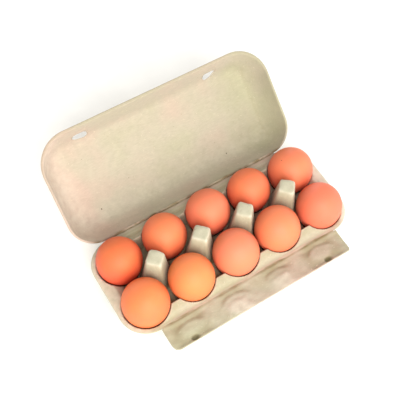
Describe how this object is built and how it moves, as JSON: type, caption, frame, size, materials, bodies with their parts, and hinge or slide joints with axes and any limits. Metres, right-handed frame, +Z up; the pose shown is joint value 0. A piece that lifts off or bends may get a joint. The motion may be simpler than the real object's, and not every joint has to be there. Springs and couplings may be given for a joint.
{
  "type": "egg carton with eggs",
  "caption": "Open moulded-pulp egg carton filled with brown hen's eggs, with a hinged lid that closes over them and a hinged locking flap with studs.",
  "frame": {"origin": "centre of the open carton's bounding box, on the surface that the cups stand on", "axes": "+X runs along the carton, +Y from the flap towards the lid, +Z up"},
  "size_m": [0.2464, 0.2198, 0.1008],
  "materials": {
    "pulp": "matte",
    "eggshell": "satin"
  },
  "bodies": {
    "tray": {"tray": "pulp", "egg_front_1": "eggshell", "egg_front_2": "eggshell", "egg_front_3": "eggshell", "egg_front_4": "eggshell", "egg_front_5": "eggshell", "egg_back_1": "eggshell", "egg_back_2": "eggshell", "egg_back_3": "eggshell", "egg_back_4": "eggshell", "egg_back_5": "eggshell"},
    "lid": {"lid": "pulp"},
    "flap": {"flap": "pulp"}
  },
  "joints": [
    {"name": "lid_hinge", "type": "hinge", "parent": "tray", "child": "lid", "pos_m": [0, 0.01741, 0.03075], "axis": [-1, 0, 0], "range_deg": [-140.4, 30]},
    {"name": "flap_hinge", "type": "hinge", "parent": "tray", "child": "flap", "pos_m": [0, -0.08529, 0.0306], "axis": [-1, 0, 0], "range_deg": [-70, 111.5]}
  ]
}
